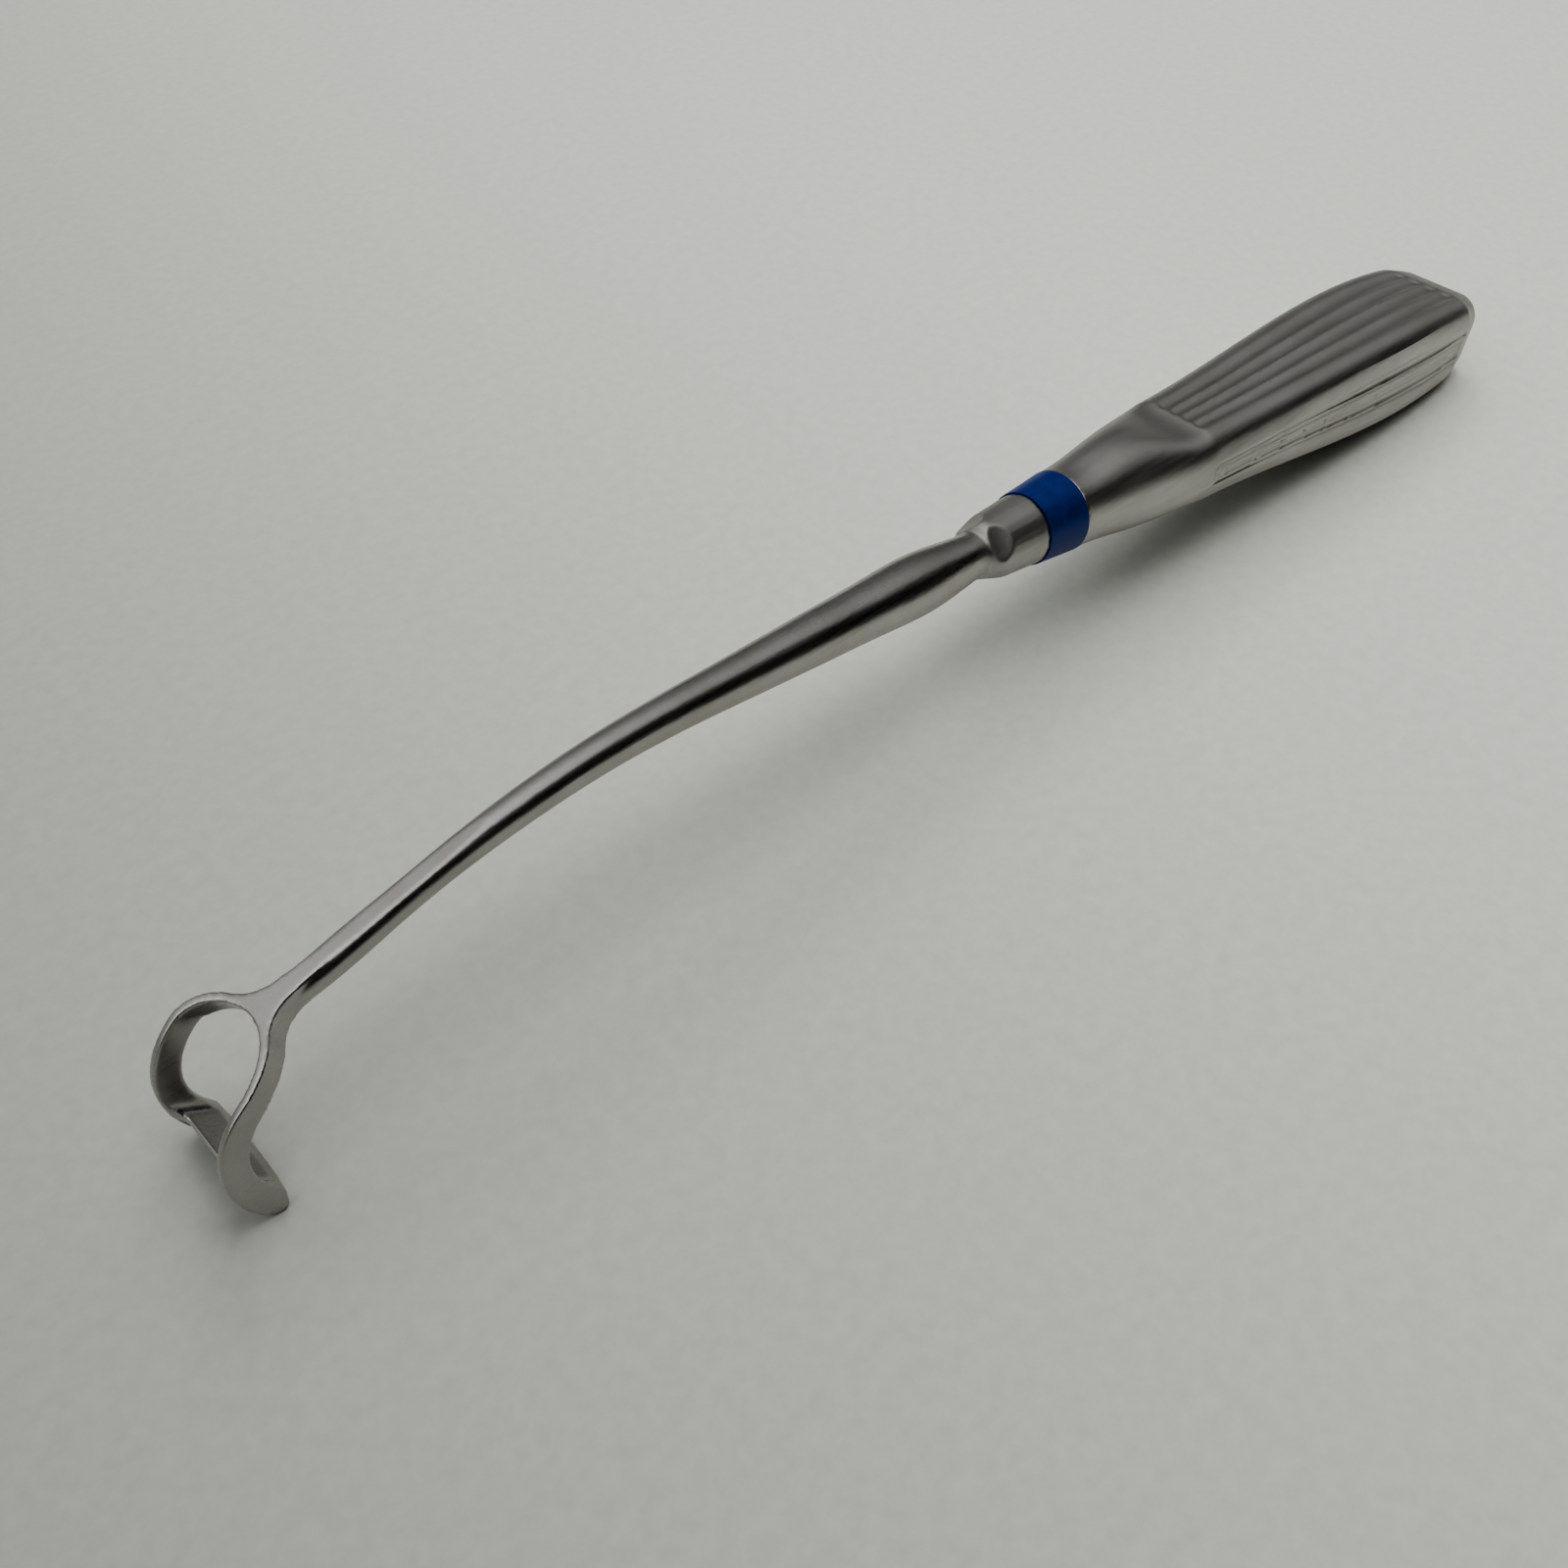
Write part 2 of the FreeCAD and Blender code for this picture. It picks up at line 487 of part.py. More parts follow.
def fork_outline_area(body):
    """Seen along the walls at the fork: what lies outside the ring's shoulders and the stem."""
    ring = size("ring_half_width")
    rise = -size("fork_end_drop")
    flare = size("stem_flare")
    tail = size("stem_tail_half_width")
    low = 7.0
    high = 15.0
    shape = flare_geometry(ring, rise, flare, size("stem_half_width"), tail, low, high)
    taper, flare_centre, to_ring, on_ring, on_stem = shape
    sketch = new_sketch(body, "fork_outline_area", "YZ_Plane")
    station(sketch, CURL_X, CURL_Z, "Sizes.fork_slope")
    axis = Vector(0, 0, 1)
    touch = math.atan2(on_ring.y - rise, on_ring.x)
    lean = math.pi + taper
    toward = math.atan2(to_ring.y, to_ring.x) % (2 * math.pi)
    wide = ring + 3
    ring_circle = Part.Circle(Vector(0, rise, 0), axis, ring)
    left_flare = Part.Circle(Vector(-flare_centre.x, flare_centre.y, 0), axis, flare)
    sketch.addGeometry([
        Part.LineSegment(on_stem, Vector(tail, high, 0)),
        Part.ArcOfCircle(Part.Circle(flare_centre, axis, flare), lean, toward),
        Part.ArcOfCircle(ring_circle, 0, touch),
        Part.LineSegment(Vector(ring, rise, 0), Vector(wide, rise, 0)),
        Part.LineSegment(Vector(wide, rise, 0), Vector(wide, high, 0)),
        Part.LineSegment(Vector(wide, high, 0), Vector(tail, high, 0)),
        Part.LineSegment(Vector(-on_stem.x, on_stem.y, 0), Vector(-tail, high, 0)),
        Part.ArcOfCircle(left_flare, 3 * math.pi - toward, 3 * math.pi - lean),
        Part.ArcOfCircle(ring_circle, math.pi - touch, math.pi),
        Part.LineSegment(Vector(-ring, rise, 0), Vector(-wide, rise, 0)),
        Part.LineSegment(Vector(-wide, rise, 0), Vector(-wide, high, 0)),
        Part.LineSegment(Vector(-wide, high, 0), Vector(-tail, high, 0)),
    ], False)
    sketch.addConstraint([
        Sketcher.Constraint("Tangent", 0, 1, 1, 1),
        Sketcher.Constraint("Tangent", 1, 2, 2, 2),
        Sketcher.Constraint("Coincident", 2, 1, 3, 1),
        Sketcher.Constraint("Coincident", 3, 2, 4, 1),
        Sketcher.Constraint("Coincident", 4, 2, 5, 1),
        Sketcher.Constraint("Coincident", 5, 2, 0, 2),
        Sketcher.Constraint("Tangent", 6, 1, 7, 2),
        Sketcher.Constraint("Tangent", 7, 1, 8, 1),
        Sketcher.Constraint("Coincident", 8, 2, 9, 1),
        Sketcher.Constraint("Coincident", 9, 2, 10, 1),
        Sketcher.Constraint("Coincident", 10, 2, 11, 1),
        Sketcher.Constraint("Coincident", 11, 2, 6, 2),
        Sketcher.Constraint("Horizontal", 3),
        Sketcher.Constraint("Vertical", 4),
        Sketcher.Constraint("Horizontal", 5),
        Sketcher.Constraint("Horizontal", 9),
        Sketcher.Constraint("Vertical", 10),
        Sketcher.Constraint("Horizontal", 11),
        Sketcher.Constraint("PointOnObject", 2, 3, -2),
        Sketcher.Constraint("Coincident", 2, 3, 8, 3),
        Sketcher.Constraint("Horizontal", 2, 3, 2, 1),
        Sketcher.Constraint("Horizontal", 8, 3, 8, 2),
        Sketcher.Constraint("Equal", 2, 8),
        Sketcher.Constraint("Equal", 1, 7),
        Sketcher.Constraint("Symmetric", 0, 2, 6, 2, -2),
        Sketcher.Constraint("Equal", 0, 6),
        Sketcher.Constraint("Equal", 3, 9),
    ])
    lean_formula = "90 deg + atan((Sizes.stem_half_width - Sizes.stem_tail_half_width) / %s)" % (high - low)
    sizes = [
        (Sketcher.Constraint("Radius", 2, ring), "ring", "Sizes.ring_half_width"),
        (Sketcher.Constraint("DistanceY", 2, 3, -1, 1, -rise), "centre", "Sizes.fork_end_drop"),
        (Sketcher.Constraint("Radius", 1, flare), "flare", "Sizes.stem_flare"),
        (Sketcher.Constraint("DistanceX", 6, 2, 0, 2, 2 * tail), "tail", "2 * Sizes.stem_tail_half_width"),
        (Sketcher.Constraint("DistanceY", -1, 1, 0, 2, high), "high", "%s" % high),
        (Sketcher.Constraint("DistanceX", 3, 1, 3, 2, 3), "wide", "3"),
        (Sketcher.Constraint("Angle", 0, math.pi / 2 + taper), "taper", lean_formula),
    ]
    for constraint, name, formula in sizes:
        dimension(sketch, constraint, name, formula)
    return sketch


def window_area(body):
    """Seen along its lower walls: the clear window between the arms, down to the blade."""
    half = size("window_half_width")
    rise = size("window_rise")
    drop = edge - size("floor_rise")
    corner = size("window_corner")
    split = size("window_split")
    sketch = new_sketch(body, "window_area", "YZ_Plane")
    station(sketch, CURL_X, CURL_Z, "Sizes.window_slope")
    axis = Vector(0, 0, 1)
    foot = Vector(half - corner, -drop + corner, 0)
    round_top = Part.Circle(Vector(0, rise, 0), axis, half)
    lean = math.asin((split - rise) / half)
    wide = half * math.cos(lean)
    sketch.addGeometry([
        Part.LineSegment(Vector(wide, split, 0), Vector(-wide, split, 0)),
        Part.LineSegment(Vector(-half, rise, 0), Vector(-half, foot.y, 0)),
        Part.ArcOfCircle(Part.Circle(Vector(-foot.x, foot.y, 0), axis, corner), math.pi, 1.5 * math.pi),
        Part.LineSegment(Vector(-foot.x, -drop, 0), Vector(foot.x, -drop, 0)),
        Part.ArcOfCircle(Part.Circle(foot, axis, corner), -math.pi / 2, 0),
        Part.LineSegment(Vector(half, foot.y, 0), Vector(half, rise, 0)),
        Part.ArcOfCircle(round_top, 0, lean),
        Part.ArcOfCircle(round_top, math.pi - lean, math.pi),
    ], False)
    sketch.addConstraint([
        Sketcher.Constraint("Coincident", 6, 2, 0, 1),
        Sketcher.Constraint("Coincident", 0, 2, 7, 1),
        Sketcher.Constraint("Tangent", 7, 2, 1, 1),
        Sketcher.Constraint("Tangent", 1, 2, 2, 1),
        Sketcher.Constraint("Tangent", 2, 2, 3, 1),
        Sketcher.Constraint("Tangent", 3, 2, 4, 1),
        Sketcher.Constraint("Tangent", 4, 2, 5, 1),
        Sketcher.Constraint("Tangent", 5, 2, 6, 1),
        Sketcher.Constraint("Coincident", 6, 3, 7, 3),
        Sketcher.Constraint("Horizontal", 0),
        Sketcher.Constraint("Vertical", 1),
        Sketcher.Constraint("Horizontal", 3),
        Sketcher.Constraint("Vertical", 5),
        Sketcher.Constraint("PointOnObject", 6, 3, -2),
        Sketcher.Constraint("Equal", 2, 4),
        Sketcher.Constraint("Equal", 6, 7),
    ])
    dimension(sketch, Sketcher.Constraint("Radius", 6, half), "half_width", "Sizes.window_half_width")
    dimension(sketch, Sketcher.Constraint("DistanceY", -1, 1, 6, 3, rise), "rise", "Sizes.window_rise")
    dimension(sketch, Sketcher.Constraint("DistanceY", -1, 1, 0, 1, split), "split", "Sizes.window_split")
    dimension(sketch, Sketcher.Constraint("DistanceY", 3, 1, -1, 1, drop), "drop", EDGE + " - Sizes.floor_rise")
    dimension(sketch, Sketcher.Constraint("Radius", 2, corner), "corner", "Sizes.window_corner")
    return sketch


def fork_window_area(body):
    """Seen along its walls at the fork: the round end of the window."""
    half = size("window_half_width")
    centre = size("fork_end_drop")
    low = centre + 1.8
    sketch = new_sketch(body, "fork_window_area", "YZ_Plane")
    station(sketch, CURL_X, CURL_Z, "Sizes.fork_slope")
    sketch.addGeometry([
        Part.ArcOfCircle(Part.Circle(Vector(0, -centre, 0), Vector(0, 0, 1), half), 0, math.pi),
        Part.LineSegment(Vector(-half, -centre, 0), Vector(-half, -low, 0)),
        Part.LineSegment(Vector(-half, -low, 0), Vector(half, -low, 0)),
        Part.LineSegment(Vector(half, -low, 0), Vector(half, -centre, 0)),
    ], False)
    sketch.addConstraint([
        Sketcher.Constraint("Tangent", 0, 2, 1, 1),
        Sketcher.Constraint("Coincident", 1, 2, 2, 1),
        Sketcher.Constraint("Coincident", 2, 2, 3, 1),
        Sketcher.Constraint("Tangent", 3, 2, 0, 1),
        Sketcher.Constraint("Vertical", 1),
        Sketcher.Constraint("Horizontal", 2),
        Sketcher.Constraint("Vertical", 3),
        Sketcher.Constraint("PointOnObject", 0, 3, -2),
    ])
    dimension(sketch, Sketcher.Constraint("Radius", 0, half), "half_width", "Sizes.window_half_width")
    dimension(sketch, Sketcher.Constraint("DistanceY", 0, 3, -1, 1, centre), "centre", "Sizes.fork_end_drop")
    dimension(sketch, Sketcher.Constraint("DistanceY", 1, 2, 1, 1, 1.8), "straight", "1.8")
    return sketch


def polygon_area(body, name, role, points):
    """A straight-sided area; each corner is two (formula, first value) pairs from the sheet."""
    sketch = new_sketch(body, name, role)
    count = len(points)
    corners = [Vector(along[1], up[1], 0) for along, up in points]
    sketch.addGeometry([
        Part.LineSegment(corners[number], corners[(number + 1) % count]) for number in range(count)
    ], False)
    sketch.addConstraint([
        Sketcher.Constraint("Coincident", number, 2, (number + 1) % count, 1) for number in range(count)
    ])
    for number, (along, up) in enumerate(points):
        dimension(sketch, Sketcher.Constraint("DistanceX", -1, 1, number, 1, along[1]),
                  "along_%d" % number, along[0])
        dimension(sketch, Sketcher.Constraint("DistanceY", -1, 1, number, 1, up[1]),
                  "up_%d" % number, up[0])
    return sketch


def bevel_area(body):
    """Side view of what is ground away under the cutting edge, between the arms."""
    lip_x = curl_x - size("curl_radius") + size("lip_reach")
    lip_z = curl_z - size("lip_drop") - size("bevel_land")
    run = size("bevel_length")
    fall = size("bevel_drop")
    along = "%s - Sizes.curl_radius + Sizes.lip_reach" % CURL_X
    up = "%s - Sizes.lip_drop - Sizes.bevel_land" % CURL_Z
    return polygon_area(body, "bevel_area", "XZ_Plane", [
        ((along + " + Sizes.bevel_length", lip_x + run), (up + " + Sizes.bevel_drop", lip_z + fall)),
        ((along + " - 2 * Sizes.bevel_length", lip_x - 2 * run), (up + " - 2 * Sizes.bevel_drop", lip_z - 2 * fall)),
        ((along + " + Sizes.bevel_length", lip_x + run), (up + " - 2 * Sizes.bevel_drop", lip_z - 2 * fall)),
    ])


def blade_front_area(body):
    """Seen from above: what is cleared in front of the blade between the arms, with rounded corners."""
    front = curl_x - size("curl_radius")
    half = size("blade_half_width")
    corner = size("blade_front_corner")
    reach = front + size("blade_front")
    start = front - 1.5
    sketch = new_sketch(body, "blade_front_area", "XY_Plane")
    axis = Vector(0, 0, 1)
    turn_x = reach - corner
    turn_y = half - corner
    sketch.addGeometry([
        Part.LineSegment(Vector(start, half, 0), Vector(start, -half, 0)),
        Part.LineSegment(Vector(start, -half, 0), Vector(turn_x, -half, 0)),
        Part.ArcOfCircle(Part.Circle(Vector(turn_x, -turn_y, 0), axis, corner), -math.pi / 2, 0),
        Part.LineSegment(Vector(reach, -turn_y, 0), Vector(reach, turn_y, 0)),
        Part.ArcOfCircle(Part.Circle(Vector(turn_x, turn_y, 0), axis, corner), 0, math.pi / 2),
        Part.LineSegment(Vector(turn_x, half, 0), Vector(start, half, 0)),
    ], False)
    sketch.addConstraint([
        Sketcher.Constraint("Coincident", 0, 2, 1, 1),
        Sketcher.Constraint("Tangent", 1, 2, 2, 1),
        Sketcher.Constraint("Tangent", 2, 2, 3, 1),
        Sketcher.Constraint("Tangent", 3, 2, 4, 1),
        Sketcher.Constraint("Tangent", 4, 2, 5, 1),
        Sketcher.Constraint("Coincident", 5, 2, 0, 1),
        Sketcher.Constraint("Vertical", 0),
        Sketcher.Constraint("Horizontal", 1),
        Sketcher.Constraint("Vertical", 3),
        Sketcher.Constraint("Horizontal", 5),
        Sketcher.Constraint("Equal", 2, 4),
    ])
    along = "%s - Sizes.curl_radius" % CURL_X
    dimension(sketch, Sketcher.Constraint("DistanceX", -1, 1, 0, 1, start), "start", along + " - 1.5")
    dimension(sketch, Sketcher.Constraint("DistanceX", -1, 1, 3, 1, reach), "reach",
              along + " + Sizes.blade_front")
    dimension(sketch, Sketcher.Constraint("DistanceY", -1, 1, 0, 1, half), "half", "Sizes.blade_half_width")
    dimension(sketch, Sketcher.Constraint("DistanceY", 0, 2, 0, 1, 2 * half), "width",
              "2 * Sizes.blade_half_width")
    dimension(sketch, Sketcher.Constraint("Radius", 2, corner), "corner", "Sizes.blade_front_corner")
    return sketch


def collar_profile(body):
    """Half section of the collar and the tang, turned about the handle's axis."""
    front = -size("collar_length")
    shoulder = size("collar_shoulder")
    top = size("collar_front_radius")
    centre = Vector(front + shoulder, top - shoulder, 0)
    sketch = new_sketch(body, "collar_profile", "XZ_Plane")
    tang = size("tang_radius")
    end = size("tang_length")
    sketch.addGeometry([
        Part.LineSegment(Vector(end, 0, 0), Vector(front, 0, 0)),
        Part.LineSegment(Vector(front, 0, 0), Vector(front, centre.y, 0)),
        Part.ArcOfCircle(Part.Circle(centre, Vector(0, 0, 1), shoulder), math.pi / 2, math.pi),
        Part.LineSegment(Vector(centre.x, top, 0), Vector(0, size("collar_rear_radius"), 0)),
        Part.LineSegment(Vector(0, size("collar_rear_radius"), 0), Vector(0, tang, 0)),
        Part.LineSegment(Vector(0, tang, 0), Vector(end, tang, 0)),
        Part.LineSegment(Vector(end, tang, 0), Vector(end, 0, 0)),
    ], False)
    sketch.addConstraint([
        Sketcher.Constraint("Coincident", 0, 2, 1, 1),
        Sketcher.Constraint("Tangent", 1, 2, 2, 2),
        Sketcher.Constraint("Coincident", 2, 1, 3, 1),
        Sketcher.Constraint("Coincident", 3, 2, 4, 1),
        Sketcher.Constraint("Coincident", 4, 2, 5, 1),
        Sketcher.Constraint("Coincident", 5, 2, 6, 1),
        Sketcher.Constraint("Coincident", 6, 2, 0, 1),
        Sketcher.Constraint("PointOnObject", 0, 1, -1),
        Sketcher.Constraint("PointOnObject", 0, 2, -1),
        Sketcher.Constraint("Vertical", 1),
        Sketcher.Constraint("Vertical", 2, 1, 2, 3),
        Sketcher.Constraint("Vertical", 4),
        Sketcher.Constraint("PointOnObject", 3, 2, -2),
        Sketcher.Constraint("Horizontal", 5),
        Sketcher.Constraint("Vertical", 6),
    ])
    sizes = [
        (Sketcher.Constraint("DistanceX", 0, 2, -1, 1, -front), "collar_length", "Sizes.collar_length"),
        (Sketcher.Constraint("Radius", 2, shoulder), "shoulder", "Sizes.collar_shoulder"),
        (Sketcher.Constraint("DistanceY", -1, 1, 2, 1, top), "front_radius", "Sizes.collar_front_radius"),
        (Sketcher.Constraint("DistanceY", -1, 1, 3, 2, size("collar_rear_radius")), "rear_radius", "Sizes.collar_rear_radius"),
        (Sketcher.Constraint("DistanceY", -1, 1, 5, 2, tang), "tang_radius", "Sizes.tang_radius"),
        (Sketcher.Constraint("DistanceX", -1, 1, 0, 1, end), "tang_length", "Sizes.tang_length"),
    ]
    for constraint, name, formula in sizes:
        dimension(sketch, constraint, name, formula)
    return sketch


def check(feature, change=0):
    """Stop when a step failed, or did not add (1) or remove (-1) material as meant."""
    doc.recompute()
    if "Invalid" in feature.State or feature.Shape.isNull() or not feature.Shape.isValid():
        raise ValueError("%s failed" % feature.Name)
    volume = feature.Shape.Volume
    before = check.last
    if change and (volume - before) * change <= 0:
        raise ValueError("%s did not change the body as meant" % feature.Name)
    check.last = volume
    print(feature.Name, round(volume, 2), len(feature.Shape.Solids))


body = new_body("curette_shaft")
pad = body.newObject("PartDesign::Pad", "fork")
pad.Profile = fork_profile(body)
pad.SideType = "Symmetric"
pad.setExpression("Length", "2 * Sizes.ring_half_width + 2")
check.last = 0
check(pad, 1)
check(pocket(body, "edge_bow", edge_bow_area(body), 8), -1)
check(pocket(body, "ring_outline", ring_outline_area(body), 90), -1)
check(pocket(body, "fork_outline", fork_outline_area(body), 90), -1)
check(pocket(body, "window", window_area(body), 90), -1)
check(pocket(body, "fork_window", fork_window_area(body), 90), -1)
back_top = ("-%s - Sizes.blade_back" % EDGE, -edge - size("blade_back"))
back_low = ("-%s - Sizes.blade_back - 4" % EDGE, -edge - size("blade_back") - 4)
back_side = ("Sizes.blade_half_width", size("blade_half_width"))
back_other = ("-Sizes.blade_half_width", -size("blade_half_width"))
blade_area = polygon_area(body, "blade_area", "YZ_Plane", [
    (back_side, back_top),
    (back_other, back_top),
    (back_other, back_low),
    (back_side, back_low),
])
station(blade_area, CURL_X, CURL_Z, "Sizes.window_slope")
check(pocket(body, "blade_back", blade_area, 90), -1)
check(pocket(body, "blade_front", blade_front_area(body), 60), -1)
check(pocket(body, "bevel", bevel_area(body), 12, "2 * Sizes.blade_half_width"), -1)

BEND_X = "-(Sizes.bend_start + Sizes.bend_radius * sin(%s))"
BEND_Z = "-Sizes.bend_radius * (1 - cos(%s))"
QUARTER = "Sizes.bend_angle / 4"
HALF = "Sizes.bend_angle / 2"
THREE_QUARTERS = "Sizes.bend_angle * 3 / 4"
WHOLE = "Sizes.bend_angle"
shaft = loft(body, "shaft", "PartDesign::AdditiveLoft", [
    round_section(body, "section_collar", "neck_radius", "-Sizes.collar_length + Sizes.collar_shoulder"),
    round_section(body, "section_neck", "neck_radius", "-Sizes.neck_place"),
    round_section(body, "section_swell", "swell_radius", "-Sizes.swell_place"),
    round_section(body, "section_fore", "fore_radius", "-Sizes.fore_place"),
    round_section(body, "section_mid", "mid_radius", "-Sizes.mid_place"),
    round_section(body, "section_aft", "aft_radius", "-Sizes.aft_place"),
    round_section(body, "section_bend_start", "bend_start_radius", "-Sizes.bend_start"),
    round_section(body, "section_bend_first", "bend_first_radius", BEND_X % QUARTER, BEND_Z % QUARTER,
                  "-" + QUARTER),
    round_section(body, "section_bend_mid", "bend_mid_radius", BEND_X % HALF, BEND_Z % HALF, "-" + HALF),
    round_section(body, "section_bend_last", "bend_last_radius", BEND_X % THREE_QUARTERS,
                  BEND_Z % THREE_QUARTERS, "-" + THREE_QUARTERS),
    round_section(body, "section_bend_end", "bend_end_radius", BEND_X % WHOLE, BEND_Z % WHOLE, "-" + WHOLE),
    round_section(body, "section_root", "root_radius", ROOT_X, ROOT_Z, "-" + WHOLE),
    round_section(body, "section_fade", "fade_radius", ROOT_X + " - Sizes.fade_run * cos(Sizes.bend_angle)",
                  ROOT_Z + " - Sizes.fade_run * sin(Sizes.bend_angle)", "-" + WHOLE),
])
check(shaft, 1)
collar = body.newObject("PartDesign::Revolution", "collar_and_tang")
collar.Profile = collar_profile(body)
collar.ReferenceAxis = (origin_plane(body, "X_Axis"), [""])
collar.Angle = 360
check(collar, 1)

# Flat of the fork carried on along the shaft's top until it runs out
PLATE_Z = ROOT_Z + " + Sizes.plate_rise / cos(Sizes.plate_angle) + (%s) * tan(Sizes.plate_angle)"
plate_z = root_z + size("plate_rise") / math.cos(plate)
flat_front = -12
flat_rear = 40
flat_top = 10
flat_area = polygon_area(body, "flat_area", "XZ_Plane", [
    (("%s + (%s)" % (ROOT_X, flat_front), root_x + flat_front),
     (PLATE_Z % flat_front, plate_z + flat_front * math.tan(plate))),
    (("%s + %s" % (ROOT_X, flat_rear), root_x + flat_rear),
     (PLATE_Z % flat_rear, plate_z + flat_rear * math.tan(plate))),
    (("%s + %s" % (ROOT_X, flat_rear), root_x + flat_rear),
     ((PLATE_Z % flat_rear) + " + %s" % flat_top, plate_z + flat_rear * math.tan(plate) + flat_top)),
    (("%s + (%s)" % (ROOT_X, flat_front), root_x + flat_front),
     ((PLATE_Z % flat_front) + " + %s" % flat_top, plate_z + flat_front * math.tan(plate) + flat_top)),
])
check(pocket(body, "flat_top", flat_area, 20), -1)

scoop_area = new_sketch(body, "scoop_area", "XZ_Plane")
scoop_area.AttachmentOffset = Placement(Vector(0, 0, 0), Rotation(Vector(1, 0, 0), 45))
scoop_height = size("scoop_floor") + size("scoop_radius")
scoop_area.addGeometry(
    Part.Circle(Vector(-size("scoop_place"), scoop_height, 0), Vector(0, 0, 1), size("scoop_radius")), False)
dimension(scoop_area, Sketcher.Constraint("Radius", 0, size("scoop_radius")), "scoop_radius",
          "Sizes.scoop_radius")
dimension(scoop_area, Sketcher.Constraint("DistanceX", 0, 3, -1, 1, size("scoop_place")), "scoop_place",
          "Sizes.scoop_place")
dimension(scoop_area, Sketcher.Constraint("DistanceY", -1, 1, 0, 3, scoop_height), "scoop_height",
          "Sizes.scoop_floor + Sizes.scoop_radius")
scoop = pocket(body, "scoop", scoop_area, 20)
check(scoop, -1)
scoops = body.newObject("PartDesign::PolarPattern", "scoops")
scoops.Originals = [scoop]
scoops.Axis = (origin_plane(body, "X_Axis"), [""])
scoops.Angle = 360
scoops.Occurrences = 4
body.Tip = scoops
check(scoops, -1)
shaft_body = body

# Handle: spigot, ferrule, fluted hollow grip and rounded butt


def pair(alias, less=None):
    """A size's formula and value, optionally less another size."""
    if less is None:
        return ("Sizes." + alias, size(alias))
    return ("Sizes.%s - Sizes.%s" % (alias, less), size(alias) - size(less))


def fluted_quarter(body, name, along, half_width, half_height):
    """One quarter of the grip's section: two flutes, a rounded corner and two flutes."""
    a = size(half_width)
    b = size(half_height)
    r = size("grip_corner")
    depth = size("flute_depth")
    p = (a - r) / 2
    q = (b - r) / 2
    sketch = new_sketch(body, name, "YZ_Plane")
    station(sketch, along)

    def arc(start, middle, end):
        return Part.Arc(Vector(*start, 0), Vector(*middle, 0), Vector(*end, 0))

    corner = Part.Circle(Vector(a - r, b - r, 0), Vector(0, 0, 1), r)
    sketch.addGeometry([
        Part.LineSegment(Vector(0, 0, 0), Vector(0, b, 0)),
        arc((0, b), (p / 2, b - depth), (p, b)),
        arc((p, b), (1.5 * p, b - depth), (2 * p, b)),
        Part.ArcOfCircle(corner, 0, math.pi / 2),
        arc((a, 2 * q), (a - depth, 1.5 * q), (a, q)),
        arc((a, q), (a - depth, q / 2), (a, 0)),
        Part.LineSegment(Vector(a, 0, 0), Vector(0, 0, 0)),
    ], False)
    sketch.addConstraint([
        Sketcher.Constraint("Coincident", 0, 1, -1, 1),
        Sketcher.Constraint("Coincident", 0, 2, 1, 1),
        Sketcher.Constraint("Coincident", 1, 2, 2, 1),
        Sketcher.Constraint("Coincident", 2, 2, 3, 2),
        Sketcher.Constraint("Coincident", 3, 1, 4, 1),
        Sketcher.Constraint("Coincident", 4, 2, 5, 1),
        Sketcher.Constraint("Coincident", 5, 2, 6, 1),
        Sketcher.Constraint("Coincident", 6, 2, -1, 1),
        Sketcher.Constraint("Vertical", 0),
        Sketcher.Constraint("Horizontal", 6),
        Sketcher.Constraint("Horizontal", 1, 1, 1, 2),
        Sketcher.Constraint("Horizontal", 2, 1, 2, 2),
        Sketcher.Constraint("Vertical", 4, 1, 4, 2),
        Sketcher.Constraint("Vertical", 5, 1, 5, 2),
        Sketcher.Constraint("Equal", 1, 2),
        Sketcher.Constraint("Equal", 4, 5),
    ])
    wide = "((Sizes.%s - Sizes.grip_corner) / 2)" % half_width
    tall = "((Sizes.%s - Sizes.grip_corner) / 2)" % half_height
    sag = "%s ^ 2 / (8 * Sizes.flute_depth) + Sizes.flute_depth / 2"
    sizes = [
        (Sketcher.Constraint("DistanceY", 0, 1, 0, 2, b), "half_height", "Sizes." + half_height),
        (Sketcher.Constraint("DistanceX", 6, 2, 6, 1, a), "half_width", "Sizes." + half_width),
        (Sketcher.Constraint("DistanceX", 1, 1, 1, 2, p), "top_pitch", wide),
        (Sketcher.Constraint("DistanceX", 2, 1, 2, 2, p), "second_top_pitch", wide),
        (Sketcher.Constraint("DistanceY", 4, 2, 4, 1, q), "side_pitch", tall),
        (Sketcher.Constraint("DistanceY", 5, 2, 5, 1, q), "second_side_pitch", tall),
        (Sketcher.Constraint("Radius", 1, p ** 2 / (8 * depth) + depth / 2), "top_flute", sag % wide),
        (Sketcher.Constraint("Radius", 4, q ** 2 / (8 * depth) + depth / 2), "side_flute", sag % tall),
        (Sketcher.Constraint("Radius", 3, r), "corner", "Sizes.grip_corner"),
    ]
    for constraint, label, formula in sizes:
        dimension(sketch, constraint, label, formula)
    return sketch


